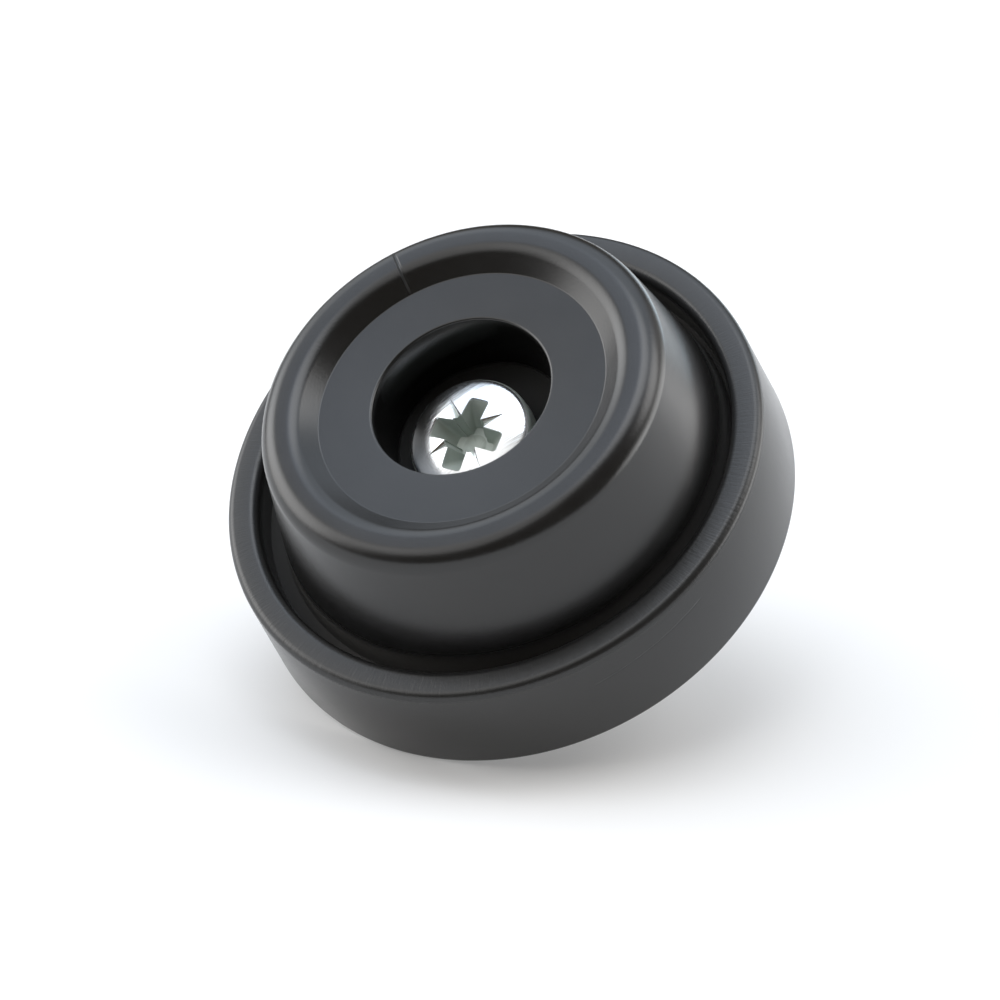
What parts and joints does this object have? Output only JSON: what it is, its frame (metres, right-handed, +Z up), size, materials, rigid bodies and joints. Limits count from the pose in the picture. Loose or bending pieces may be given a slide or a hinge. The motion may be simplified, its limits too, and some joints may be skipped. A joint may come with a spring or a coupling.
{
  "type": "screw-in furniture glide",
  "caption": "Round stepped furniture glide in black moulded plastic, with a sunk face, a deep bore and a pan-head wood screw that fixes it under a chair or table leg.",
  "frame": {"origin": "on the surface that the glide lies on, under the middle of its box", "axes": "+Z up from that surface; +X along the widest run across the flange; the glide's own axis leans from +Z towards -Y by about 35 degrees, running face up, because it lies on the edge of its flange and on the point of its screw"},
  "size_m": [0.038, 0.0346, 0.0304],
  "materials": {
    "black_moulding": "satin moulded black",
    "zinc_plate": "bright zinc plate"
  },
  "bodies": {
    "root": {"foot_body": "black_moulding", "fixing_screw": "zinc_plate"}
  },
  "joints": []
}
